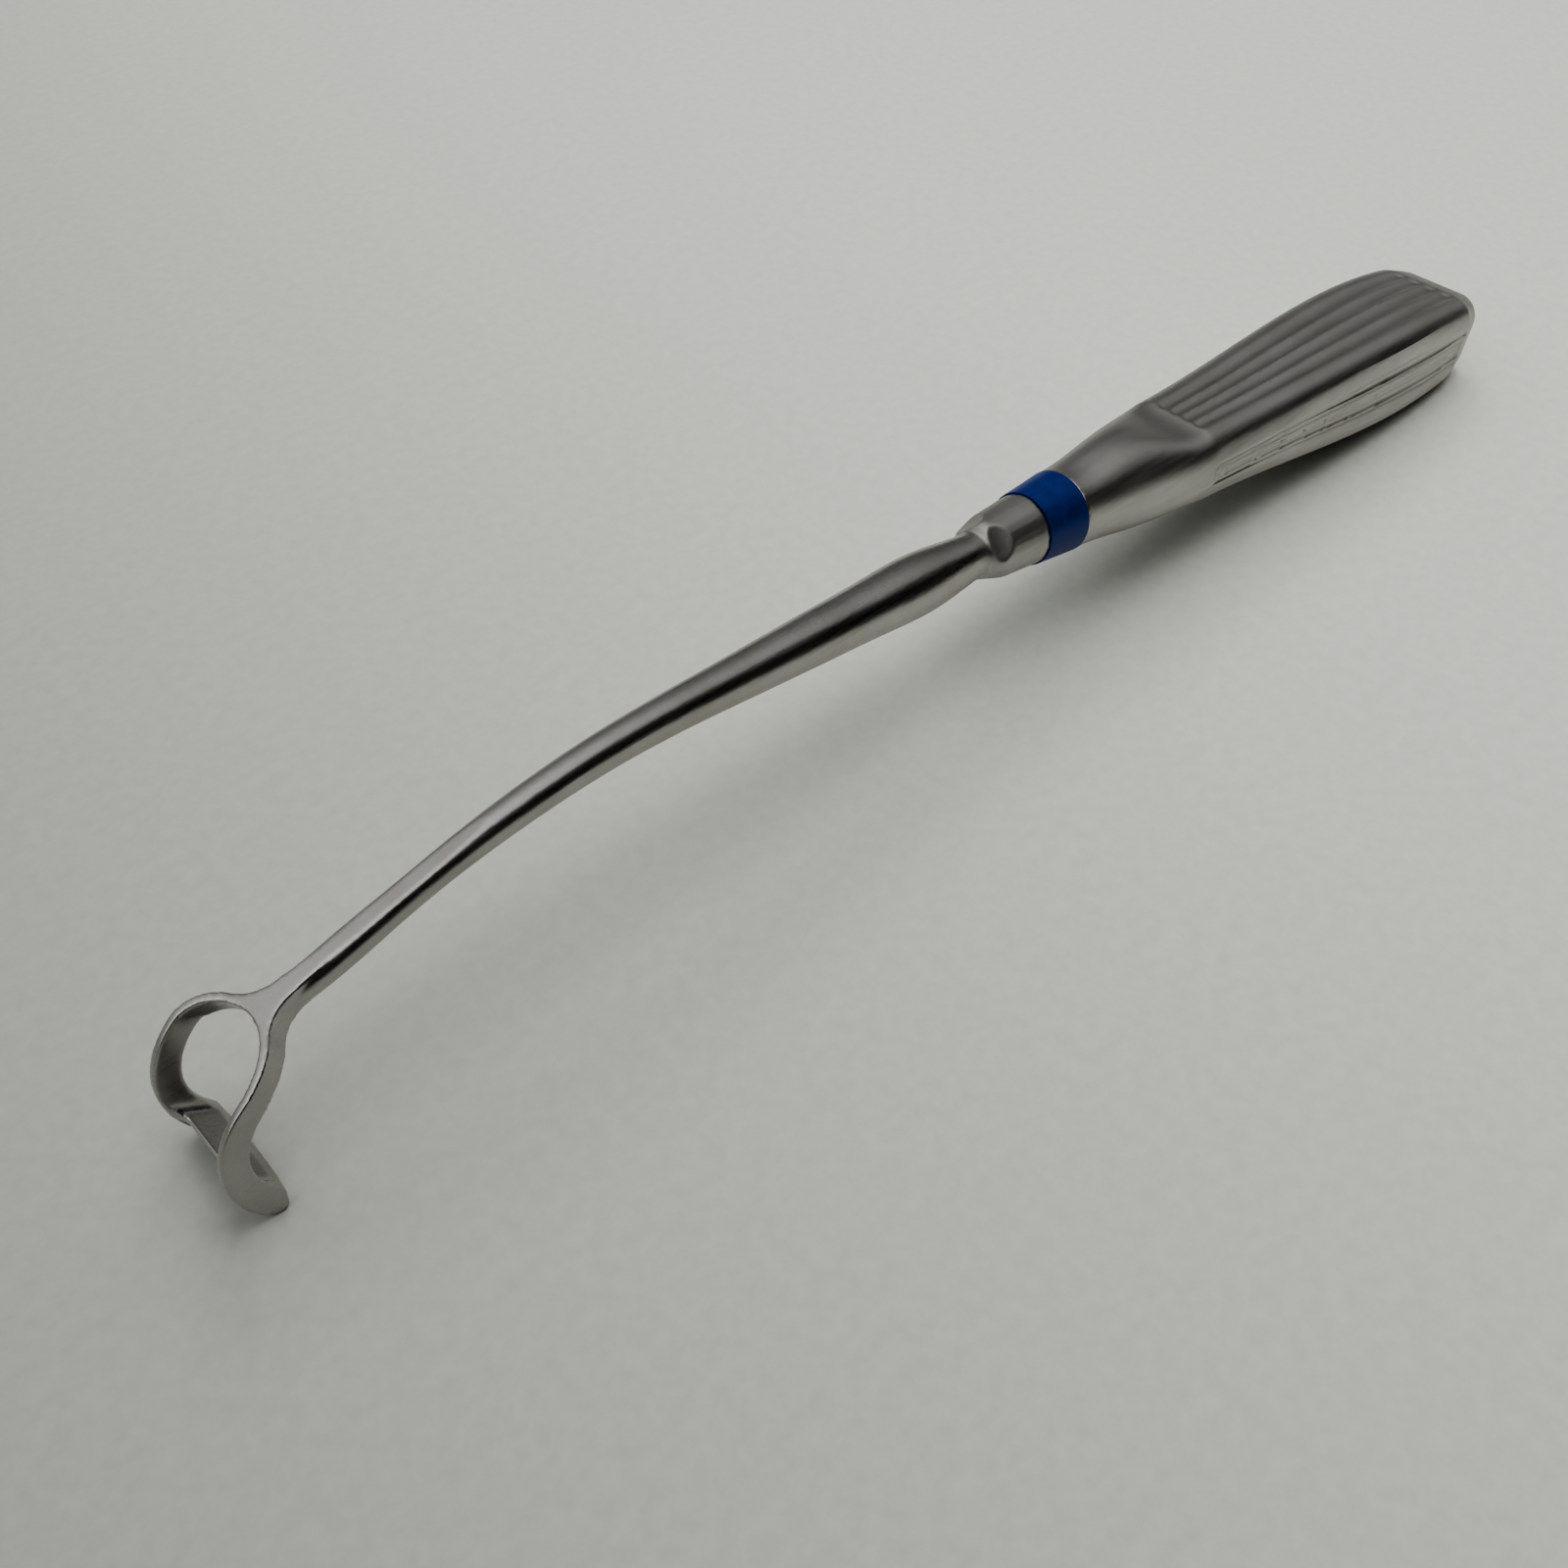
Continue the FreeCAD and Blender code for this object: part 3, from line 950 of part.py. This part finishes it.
body = new_body("handle")
check.last = 0
quarter = loft(body, "grip_quarter", "PartDesign::AdditiveLoft", [
    fluted_quarter(body, "grip_front", "Sizes.flute_start", "grip_front_half_width", "grip_front_half_height"),
    fluted_quarter(body, "grip_mid", "Sizes.grip_mid_place", "grip_mid_half_width", "grip_mid_half_height"),
    fluted_quarter(body, "grip_rear", GRIP_REAR, "grip_rear_half_width", "grip_rear_half_height"),
    fluted_quarter(body, "grip_end", FLUTE_END, "grip_end_half_width", "grip_end_half_height"),
])
check(quarter, 1)
grip = body.newObject("PartDesign::MultiTransform", "grip")
grip.Originals = [quarter]
mirrors = []
for name, role in (("grip_sides", "XZ_Plane"), ("grip_faces", "XY_Plane")):
    mirror = body.newObject("PartDesign::Mirrored", name)
    mirror.MirrorPlane = (origin_plane(body, role), [""])
    mirrors.append(mirror)
grip.Transformations = mirrors
body.Tip = grip
check(grip, 1)


def circle_pair(alias):
    """Corner of a section that is all but round."""
    return ("Sizes.%s - Sizes.ferrule_round" % alias, size(alias) - size("ferrule_round"))


front = loft(body, "ferrule", "PartDesign::AdditiveLoft", [
    rounded_section(body, "ferrule_front", "Sizes.band_length", pair("ferrule_radius"),
                    pair("ferrule_radius"), pair("ferrule_radius", "ferrule_round")),
    rounded_section(body, "ferrule_mid", "Sizes.ferrule_mid_place", pair("ferrule_mid_radius"),
                    pair("ferrule_mid_radius"), pair("ferrule_mid_radius", "ferrule_round")),
    rounded_section(body, "brow", "Sizes.brow_place", pair("brow_half_width"),
                    pair("brow_half_height"), pair("brow_corner")),
    rounded_section(body, "thumb_hollow", "Sizes.hollow_place", pair("hollow_half_width"),
                    pair("hollow_half_height"), pair("hollow_corner")),
    rounded_section(body, "ferrule_rear", "Sizes.flute_start", pair("grip_front_half_width"),
                    pair("grip_front_half_height"), pair("grip_corner")),
])
check(front, 1)
butt = loft(body, "butt", "PartDesign::AdditiveLoft", [
    rounded_section(body, "butt_front", FLUTE_END, pair("grip_end_half_width"),
                    pair("grip_end_half_height"), pair("grip_corner")),
    rounded_section(body, "butt_round", "Sizes.handle_length - Sizes.butt_round_back", pair("butt_round_half_width"),
                    pair("butt_round_half_height"), pair("butt_round_corner")),
    rounded_section(body, "butt_rim", "Sizes.handle_length - Sizes.butt_rim_back", pair("butt_rim_half_width"),
                    pair("butt_rim_half_height"), pair("butt_rim_corner")),
    rounded_section(body, "butt_end", "Sizes.handle_length", pair("butt_end_half_width"),
                    pair("butt_end_half_height"), pair("butt_end_corner")),
])
check(butt, 1)
spigot = body.newObject("PartDesign::Pad", "spigot")
spigot.Profile = round_section(body, "spigot_section", "spigot_radius", "0")
spigot.setExpression("Length", "Sizes.band_length")
check(spigot, 1)
space = loft(body, "space_inside", "PartDesign::SubtractiveLoft", [
    rounded_section(body, "space_front", "Sizes.hollow_front", pair("grip_front_half_width", "shell_wall"),
                    pair("grip_front_half_height", "shell_wall"), pair("grip_corner", "shell_wall")),
    rounded_section(body, "space_mid", "Sizes.grip_mid_place", pair("grip_mid_half_width", "shell_wall"),
                    pair("grip_mid_half_height", "shell_wall"), pair("grip_corner", "shell_wall")),
    rounded_section(body, "space_rear", GRIP_REAR, pair("grip_rear_half_width", "shell_wall"),
                    pair("grip_rear_half_height", "shell_wall"), pair("grip_corner", "shell_wall")),
    rounded_section(body, "space_end", "Sizes.handle_length - Sizes.hollow_rear_back", pair("grip_end_half_width", "shell_wall"),
                    pair("grip_end_half_height", "shell_wall"), pair("grip_corner", "shell_wall")),
])
check(space, -1)
bore_area = new_sketch(body, "bore_area", "YZ_Plane")
bore_radius = size("tang_radius") + size("tang_clearance")
bore_area.addGeometry(Part.Circle(Vector(0, 0, 0), Vector(0, 0, 1), bore_radius), False)
bore_area.addConstraint(Sketcher.Constraint("Coincident", 0, 3, -1, 1))
dimension(bore_area, Sketcher.Constraint("Radius", 0, bore_radius), "bore_radius",
          "Sizes.tang_radius + Sizes.tang_clearance")
bore = body.newObject("PartDesign::Pocket", "bore")
bore.Profile = bore_area
bore.Reversed = True
bore.setExpression("Length", "Sizes.tang_length + Sizes.tang_end_gap")
check(bore, -1)
handle_body = body

# Coloured band on the spigot
body = new_body("colour_band")
check.last = 0
band_profile = polygon_area(body, "band_profile", "XZ_Plane", [
    (("0", 0), pair("spigot_radius")),
    (pair("band_length"), pair("spigot_radius")),
    (pair("band_length"), pair("band_rear_radius")),
    (("0", 0), pair("band_front_radius")),
])
band = body.newObject("PartDesign::Revolution", "band")
band.Profile = band_profile
band.ReferenceAxis = (origin_plane(body, "X_Axis"), [""])
band.Angle = 360
check(band, 1)
band_body = body

# Lay the instrument down: turn about Y, then centre it and lift it onto Z = 0
bodies = [shaft_body, handle_body, band_body]
turn = Rotation(Vector(0, 1, 0), size("rest_tilt"))
for body in bodies:
    body.Placement = Placement(Vector(0, 0, 0), turn)
doc.recompute()
boxes = [body.Shape.optimalBoundingBox(False, False) for body in bodies]
low = [box.ZMin for box in boxes]
print("lowest", low)
shift = Vector(-(min(box.XMin for box in boxes) + max(box.XMax for box in boxes)) / 2, 0, -min(low))
print("shift", shift, "length", max(box.XMax for box in boxes) - min(box.XMin for box in boxes))
for body in bodies:
    body.Placement = Placement(shift, turn)
doc.recompute()

os.makedirs("parts", exist_ok=True)
for item in doc.Objects:
    if "Invalid" in item.State or "Error" in item.State:
        raise ValueError("%s is invalid" % item.Name)
for body in bodies:
    shape = body.Shape
    if shape.isNull() or not shape.isValid() or len(shape.Solids) != 1:
        raise ValueError("%s is not one sound solid" % body.Label)
    shape.exportStep("parts/%s.step" % body.Label)
    print(body.Label, round(shape.Volume, 1), shape.BoundBox)
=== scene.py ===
import math

import bmesh
import bpy
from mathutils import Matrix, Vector


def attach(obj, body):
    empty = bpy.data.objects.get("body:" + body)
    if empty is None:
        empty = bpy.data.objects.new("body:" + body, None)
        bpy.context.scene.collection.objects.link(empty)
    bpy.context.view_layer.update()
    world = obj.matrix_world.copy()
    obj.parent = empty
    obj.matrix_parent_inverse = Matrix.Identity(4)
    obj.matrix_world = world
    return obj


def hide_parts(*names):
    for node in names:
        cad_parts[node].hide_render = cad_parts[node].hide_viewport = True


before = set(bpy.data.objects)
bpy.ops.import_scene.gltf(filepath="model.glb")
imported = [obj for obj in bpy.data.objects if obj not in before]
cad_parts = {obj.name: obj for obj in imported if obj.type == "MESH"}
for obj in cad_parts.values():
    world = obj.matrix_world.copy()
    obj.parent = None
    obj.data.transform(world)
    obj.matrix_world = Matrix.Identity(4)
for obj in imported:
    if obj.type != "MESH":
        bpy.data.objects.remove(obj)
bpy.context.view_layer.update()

# Driving sizes in metres, except the camera's turn in degrees and its lens and sensor in millimetres

HANDLE_TILT = math.radians(6.55)
HANDLE_ORIGIN_X = 0.0075073
HANDLE_ORIGIN_Z = 0.0183246
SHAFT_VOXEL = 0.000205
HANDLE_VOXEL = 0.00030
SHAFT_SOFTENING = 8
HANDLE_SOFTENING = 3
FLOOR_HALF_SIZE = 3.0
CAMERA_PLACE = (-0.119803, -0.093431, 0.140276)
CAMERA_TURN = (42.3603, 0.4426, -42.9747)
CAMERA_LENS = 34.889
CAMERA_SENSOR = 36.0

# Meshes


def outer_shell(mesh):
    """Keep only the connected surface that spans the most: a sealed space inside isn't seen."""
    work = bmesh.new()
    work.from_mesh(mesh)
    bmesh.ops.remove_doubles(work, verts=work.verts, dist=1e-6)
    work.verts.ensure_lookup_table()
    seen = set()
    shells = []
    for start in work.verts:
        if start.index in seen:
            continue
        stack = [start]
        seen.add(start.index)
        shell = []
        while stack:
            vert = stack.pop()
            shell.append(vert)
            for edge in vert.link_edges:
                other = edge.other_vert(vert)
                if other.index not in seen:
                    seen.add(other.index)
                    stack.append(other)
        xs = [vert.co.x for vert in shell]
        shells.append((max(xs) - min(xs), shell))
    shells.sort(key=lambda item: item[0], reverse=True)
    spare = [vert for _, shell in shells[1:] for vert in shell]
    bmesh.ops.delete(work, geom=spare, context="VERTS")
    work.to_mesh(mesh)
    work.free()


def finished_copy(node, name, voxel, rounds):
    """A finely meshed copy of a CAD node, its edges softened as polishing leaves them."""
    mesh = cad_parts[node].data.copy()
    mesh.materials.clear()
    outer_shell(mesh)
    piece = bpy.data.objects.new(name, mesh)
    bpy.context.scene.collection.objects.link(piece)
    remesh = piece.modifiers.new("even", "REMESH")
    remesh.mode = "VOXEL"
    remesh.voxel_size = voxel
    remesh.use_smooth_shade = True
    soften = piece.modifiers.new("soften", "SMOOTH")
    soften.factor = 0.5
    soften.iterations = rounds
    bpy.context.view_layer.update()
    graph = bpy.context.evaluated_depsgraph_get()
    fine = bpy.data.meshes.new_from_object(piece.evaluated_get(graph))
    piece.modifiers.clear()
    piece.data = fine
    piece.data.shade_smooth()
    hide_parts(node)
    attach(piece, "root")
    return piece


# Node trees


def grey(value, warm=0.0):
    return (value * (1 + warm), value, value * (1 - 1.5 * warm), 1)


class Nodes:
    """Small helper around a node tree: its methods give the output socket of the node they add."""

    def __init__(self, tree):
        self.tree = tree
        self.tree.nodes.clear()
        self.place = self.add("ShaderNodeTexCoord")

    def add(self, kind, **settings):
        node = self.tree.nodes.new(kind)
        for key, value in settings.items():
            setattr(node, key, value)
        return node

    def feed(self, value, node, entry):
        """Link an output socket to a node's entry, or set the entry to a plain value."""
        if isinstance(value, bpy.types.NodeSocket):
            self.tree.links.new(value, node.inputs[entry])
        else:
            node.inputs[entry].default_value = value

    def mapped(self, scale=(1, 1, 1), turn=(0, 0, 0)):
        node = self.add("ShaderNodeMapping")
        self.feed(scale, node, "Scale")
        self.feed(turn, node, "Rotation")
        self.feed(self.place.outputs["Object"], node, "Vector")
        return node.outputs["Vector"]

    def axes(self, vector):
        """The X, Y and Z sockets of a vector."""
        node = self.add("ShaderNodeSeparateXYZ")
        self.feed(vector, node, "Vector")
        return [node.outputs[axis] for axis in "XYZ"]

    def noise(self, vector, scale, detail, rough=0.6):
        node = self.add("ShaderNodeTexNoise")
        self.feed(scale, node, "Scale")
        self.feed(detail, node, "Detail")
        self.feed(rough, node, "Roughness")
        self.feed(vector, node, "Vector")
        return node.outputs["Fac"]

    def ramp(self, value, stops):
        """Colours from a list of places and colours."""
        node = self.add("ShaderNodeValToRGB")
        elements = node.color_ramp.elements
        for element, (position, colour) in zip(elements, (stops[0], stops[-1])):
            element.position = position
            element.color = colour
        for position, colour in stops[1:-1]:
            elements.new(position).color = colour
        self.feed(value, node, "Fac")
        return node.outputs["Color"]

    def spread(self, value, low, high, start=0.3, end=0.7, smooth=False):
        """Turn the values from start to end into values from low to high."""
        node = self.add("ShaderNodeMapRange", interpolation_type="SMOOTHSTEP" if smooth else "LINEAR")
        self.feed(start, node, "From Min")
        self.feed(end, node, "From Max")
        self.feed(low, node, "To Min")
        self.feed(high, node, "To Max")
        self.feed(value, node, "Value")
        return node.outputs["Result"]

    def calc(self, kind, first, second=None):
        node = self.add("ShaderNodeMath", operation=kind)
        self.feed(first, node, 0)
        if second is not None:
            self.feed(second, node, 1)
        return node.outputs["Value"]

    def bump(self, height, strength, depth, before=None):
        node = self.add("ShaderNodeBump")
        self.feed(strength, node, "Strength")
        self.feed(depth, node, "Distance")
        self.feed(height, node, "Height")
        if before is not None:
            self.feed(before, node, "Normal")
        return node.outputs["Normal"]


class Surface(Nodes):
    """A material around one Principled shader."""

    def __init__(self, name):
        self.material = bpy.data.materials.new(name)
        self.material.use_nodes = True
        super().__init__(self.material.node_tree)
        self.shader = self.add("ShaderNodeBsdfPrincipled")
        self.feed(self.shader.outputs["BSDF"], self.add("ShaderNodeOutputMaterial"), "Surface")

    def set(self, entry, value):
        self.feed(value, self.shader, entry)


# Materials


def shaft_steel():
    """Polished forging, satin on its collar: drawn polishing lines, fine scratches and a faint stain."""
    m = Surface("polished_steel")
    m.set("Metallic", 1.0)
    stain = m.noise(m.mapped(), 160, 5)
    m.set("Base Color", m.ramp(stain, [(0.35, grey(0.46, 0.02)), (0.7, grey(0.40, 0.04))]))
    lines = m.noise(m.mapped((70, 2600, 2600)), 1, 3)
    fleck = m.noise(m.mapped(), 2600, 3)
    along = m.axes(m.place.outputs["Object"])[0]
    on_collar = m.spread(along, 0.0, 0.17, start=-0.004, end=-0.001)
    m.set("Roughness", m.calc("ADD", m.spread(lines, 0.25, 0.34), on_collar))
    drawn = m.bump(lines, 0.10, 0.00003)
    m.set("Normal", m.bump(fleck, 0.07, 0.00003, drawn))
    return m.material


def side_grooves(m):
    """Bump height of the broad grooves along the handle's sides: shading only, the mesh has none of them."""
    axis_height = HANDLE_ORIGIN_X * math.sin(HANDLE_TILT) + HANDLE_ORIGIN_Z * math.cos(HANDLE_TILT)
    along, _, up = m.axes(m.mapped(turn=(0, -HANDLE_TILT, 0)))
    height = m.calc("SUBTRACT", up, axis_height)
    pitch = m.calc("ADD", m.calc("MULTIPLY", along, 0.020), 0.0025)
    phase = m.calc("MULTIPLY", m.calc("DIVIDE", height, pitch), math.pi)
    ridge = m.calc("ABSOLUTE", m.calc("COSINE", phase))
    groove = m.calc("SUBTRACT", 1.0, m.calc("POWER", ridge, 0.8))
    sideways = m.axes(m.add("ShaderNodeNewGeometry").outputs["Normal"])[1]
    on_side = m.spread(m.calc("ABSOLUTE", sideways), 0, 1, start=0.70, end=0.86, smooth=True)
    on_grip = m.spread(along, 0, 1, start=0.030, end=0.042, smooth=True)
    return m.calc("MULTIPLY", m.calc("MULTIPLY", groove, on_side), on_grip)


def handle_steel():
    """Satin handle: blasted grain with a faint drawn grain along the handle."""
    m = Surface("satin_steel")
    m.set("Metallic", 1.0)
    stain = m.noise(m.mapped((1, 1.6, 1.6)), 90, 5)
    m.set("Base Color", m.ramp(stain, [(0.3, grey(0.49, 0.02)), (0.72, grey(0.42, 0.04))]))
    grain = m.noise(m.mapped(), 3200, 2)
    drawn = m.noise(m.mapped((90, 1500, 1500)), 1, 3)
    m.set("Roughness", m.spread(drawn, 0.36, 0.46))
    blasted = m.bump(grain, 0.12, 0.00004)
    brushed = m.bump(drawn, 0.08, 0.00003, blasted)
    m.set("Normal", m.bump(side_grooves(m), 1.0, 0.0003, brushed))
    return m.material


def band_enamel():
    """Deep blue coating with a soft sheen and slightly worn grain."""
    m = Surface("blue_coating")
    m.set("Metallic", 0.3)
    m.set("Coat Weight", 0.05)
    m.set("Coat Roughness", 0.3)
    patch = m.noise(m.mapped(), 900, 4)
    m.set("Base Color", m.ramp(patch, [(0.3, (0.003, 0.022, 0.15, 1)), (0.7, (0.006, 0.032, 0.20, 1))]))
    m.set("Roughness", m.spread(patch, 0.34, 0.46))
    m.set("Normal", m.bump(m.noise(m.mapped(), 4000, 2), 0.1, 0.00003))
    return m.material


def floor_paper():
    """Pale matt surface with the faintest mottling, with painted shade darkening it towards the curette's
    head where the light falls off.
    """
    m = Surface("pale_floor")
    m.set("Roughness", 0.75)
    m.set("Specular IOR Level", 0.25)
    cloud = m.noise(m.mapped(), 500, 5, 0.65)
    tint = m.ramp(cloud, [(0.35, (0.52, 0.535, 0.50, 1)), (0.65, (0.56, 0.575, 0.537, 1))])
    along = m.axes(m.place.outputs["Object"])[0]
    # Painted shade: the floor's colour scaled down towards -X, standing in for the lights' falloff
    painted_shade = m.add("ShaderNodeVectorMath", operation="SCALE")
    m.feed(tint, painted_shade, "Vector")
    m.feed(m.spread(along, 0.58, 1.0, start=-0.24, end=0.10, smooth=True), painted_shade, "Scale")
    m.set("Base Color", painted_shade.outputs["Vector"])
    m.set("Normal", m.bump(m.noise(m.mapped(), 1600, 4), 0.12, 0.0001))
    return m.material


# Pieces

shaft_voxel = SHAFT_VOXEL
handle_voxel = HANDLE_VOXEL
shaft = finished_copy("curette_shaft", "shaft_and_ring", shaft_voxel, SHAFT_SOFTENING)
shaft.data.materials.append(shaft_steel())
handle = finished_copy("handle", "fluted_handle", handle_voxel, HANDLE_SOFTENING)
handle.data.materials.append(handle_steel())
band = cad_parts["colour_band"]
band.data.materials.clear()
band.data.materials.append(band_enamel())

# Floor

half = FLOOR_HALF_SIZE
floor_mesh = bpy.data.meshes.new("floor")
corners = [(-half, -half, 0), (half, -half, 0), (half, half, 0), (-half, half, 0)]
floor_mesh.from_pydata(corners, [], [(0, 1, 2, 3)])
floor = bpy.data.objects.new("floor", floor_mesh)
floor.data.materials.append(floor_paper())
bpy.context.scene.collection.objects.link(floor)

# Surroundings and lights


def studio():
    """A long bright strip beside the zenith, dim low down on the camera's side."""
    world = bpy.data.worlds.new("studio")
    bpy.context.scene.world = world
    world.use_nodes = True
    w = Nodes(world.node_tree)
    sky = w.add("ShaderNodeBackground")
    w.feed(sky.outputs["Background"], w.add("ShaderNodeOutputWorld"), "Surface")
    x, y, z = w.axes(w.place.outputs["Generated"])
    turn = w.calc("DIVIDE", w.calc("ARCTAN2", z, w.calc("MULTIPLY", y, -1.0)), math.pi)
    stops = [(0.0, 0.008), (0.27, 0.012), (0.31, 0.10), (0.345, 0.7), (0.39, 0.95), (0.44, 0.95),
             (0.50, 0.95), (0.58, 0.9), (0.70, 0.62), (0.85, 0.4), (1.0, 0.28)]
    w.feed(w.ramp(turn, [(position, grey(value)) for position, value in stops]), sky, "Color")
    w.feed(w.spread(x, 1.15, 0.36, start=-0.3, end=0.7), sky, "Strength")


def area_light(name, place, target, width, height, power, colour):
    """A soft rectangular light aimed at a point, which the steel doesn't mirror."""
    data = bpy.data.lights.new(name, "AREA")
    data.shape = "RECTANGLE"
    data.size = width
    data.size_y = height
    data.energy = power
    data.color = colour
    light = bpy.data.objects.new(name, data)
    light.location = place
    light.rotation_euler = (Vector(target) - Vector(place)).to_track_quat("-Z", "Y").to_euler()
    light.visible_glossy = False
    bpy.context.scene.collection.objects.link(light)


studio()
area_light("overhead", (0.14, -0.02, 0.55), (0.12, 0.0, 0.0), 0.45, 0.2, 1.35, (1.0, 0.99, 0.96))
area_light("window", (0.35, 0.40, 0.65), (0.1, 0.05, 0), 0.40, 0.30, 1.4, (0.98, 1.0, 0.97))

bpy.context.scene.view_settings.look = "AgX - High Contrast"

# Camera at the photograph's viewing angle

lens = bpy.data.cameras.new("camera")
lens.sensor_width = CAMERA_SENSOR
lens.lens = CAMERA_LENS
lens.clip_start = 0.01
camera = bpy.data.objects.new("camera", lens)
camera.location = CAMERA_PLACE
camera.rotation_euler = [math.radians(angle) for angle in CAMERA_TURN]
bpy.context.scene.collection.objects.link(camera)
bpy.context.scene.camera = camera
